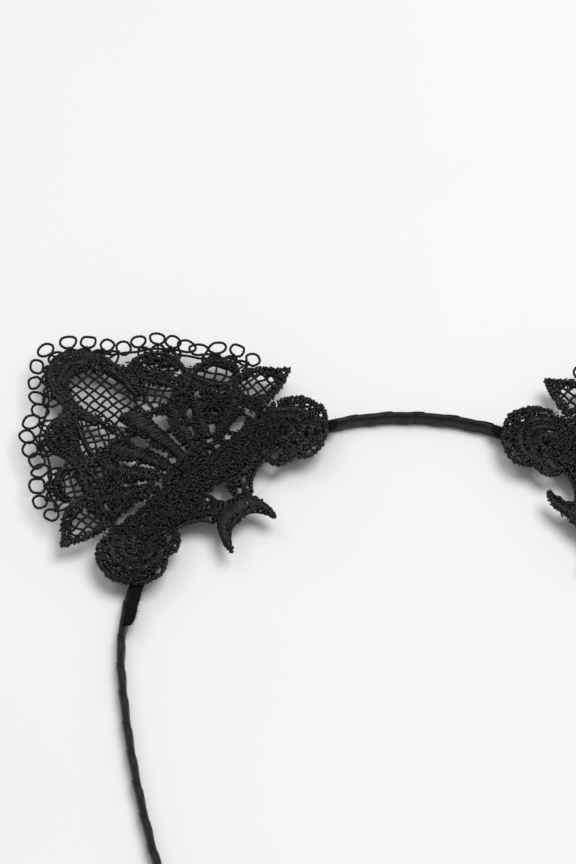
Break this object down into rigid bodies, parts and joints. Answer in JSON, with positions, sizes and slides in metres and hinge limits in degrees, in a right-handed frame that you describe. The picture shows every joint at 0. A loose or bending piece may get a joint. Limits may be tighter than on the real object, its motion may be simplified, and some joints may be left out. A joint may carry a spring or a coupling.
{
  "type": "animal ears headband",
  "caption": "Costume headband: a ribbon-wrapped springy band that carries a pair of flat guipure-lace cat ears on felt-backed feet",
  "frame": {"origin": "the centre of the head circle, level with the band's lower edge", "axes": "+Y to the crown, +X across the head, +Z along the band's width, up from the surface it lies on"},
  "size_m": [0.2044, 0.1661, 0.0075],
  "materials": {
    "steel_strip": "flat spring steel strip, edges rolled",
    "satin_ribbon": "narrow satin ribbon wound round the strip in overlapping turns",
    "felt": "thin pressed felt with a short nap",
    "lace_cord": "machine-embroidered guipure cord, zigzag stitched",
    "satin_stitch": "raised satin stitch in lustrous polyester thread",
    "lace_thread": "fine twisted polyester thread",
    "sewing_thread": "hand-sewn tack stitches in polyester thread"
  },
  "bodies": {
    "crown": {"crown_core": "steel_strip", "crown_wrap": "satin_ribbon"},
    "left_side": {"left_core": "steel_strip", "left_wrap": "satin_ribbon", "left_tip_fold": "satin_ribbon", "left_outer_felt": "felt", "left_inner_felt": "felt", "left_lace_base": "lace_cord", "left_outer_foot": "lace_cord", "left_inner_foot": "lace_cord", "left_tack_stitches": "sewing_thread"},
    "left_ear": {"left_ear_net": "lace_thread", "left_ear_scallops": "lace_cord", "left_ear_fan": "satin_stitch", "left_ear_leaves": "lace_cord", "left_ear_picots": "lace_thread"},
    "right_side": {"right_core": "steel_strip", "right_wrap": "satin_ribbon", "right_tip_fold": "satin_ribbon", "right_outer_felt": "felt", "right_inner_felt": "felt", "right_lace_base": "lace_cord", "right_outer_foot": "lace_cord", "right_inner_foot": "lace_cord", "right_tack_stitches": "sewing_thread"},
    "right_ear": {"right_ear_net": "lace_thread", "right_ear_scallops": "lace_cord", "right_ear_fan": "satin_stitch", "right_ear_leaves": "lace_cord", "right_ear_picots": "lace_thread"}
  },
  "joints": [
    {"name": "left_side_flex", "type": "hinge", "parent": "crown", "child": "left_side", "pos_m": [-0.01228, 0.06963, 0.0022], "axis": [0, 0, -1], "range_deg": [-4, 12], "stiffness_Nm_per_rad": 1},
    {"name": "left_ear_fold", "type": "hinge", "parent": "left_side", "child": "left_ear", "pos_m": [-0.05723, 0.04939, 0.0072], "axis": [0.6896, 0.7242, 0], "range_deg": [-5, 75], "stiffness_Nm_per_rad": 0.02},
    {"name": "right_side_flex", "type": "hinge", "parent": "crown", "child": "right_side", "pos_m": [0.01228, 0.06963, 0.0022], "axis": [0, 0, 1], "range_deg": [-4, 12], "stiffness_Nm_per_rad": 1},
    {"name": "right_ear_fold", "type": "hinge", "parent": "right_side", "child": "right_ear", "pos_m": [0.05723, 0.04939, 0.0072], "axis": [0.6896, -0.7242, 0], "range_deg": [-5, 75], "stiffness_Nm_per_rad": 0.02}
  ]
}
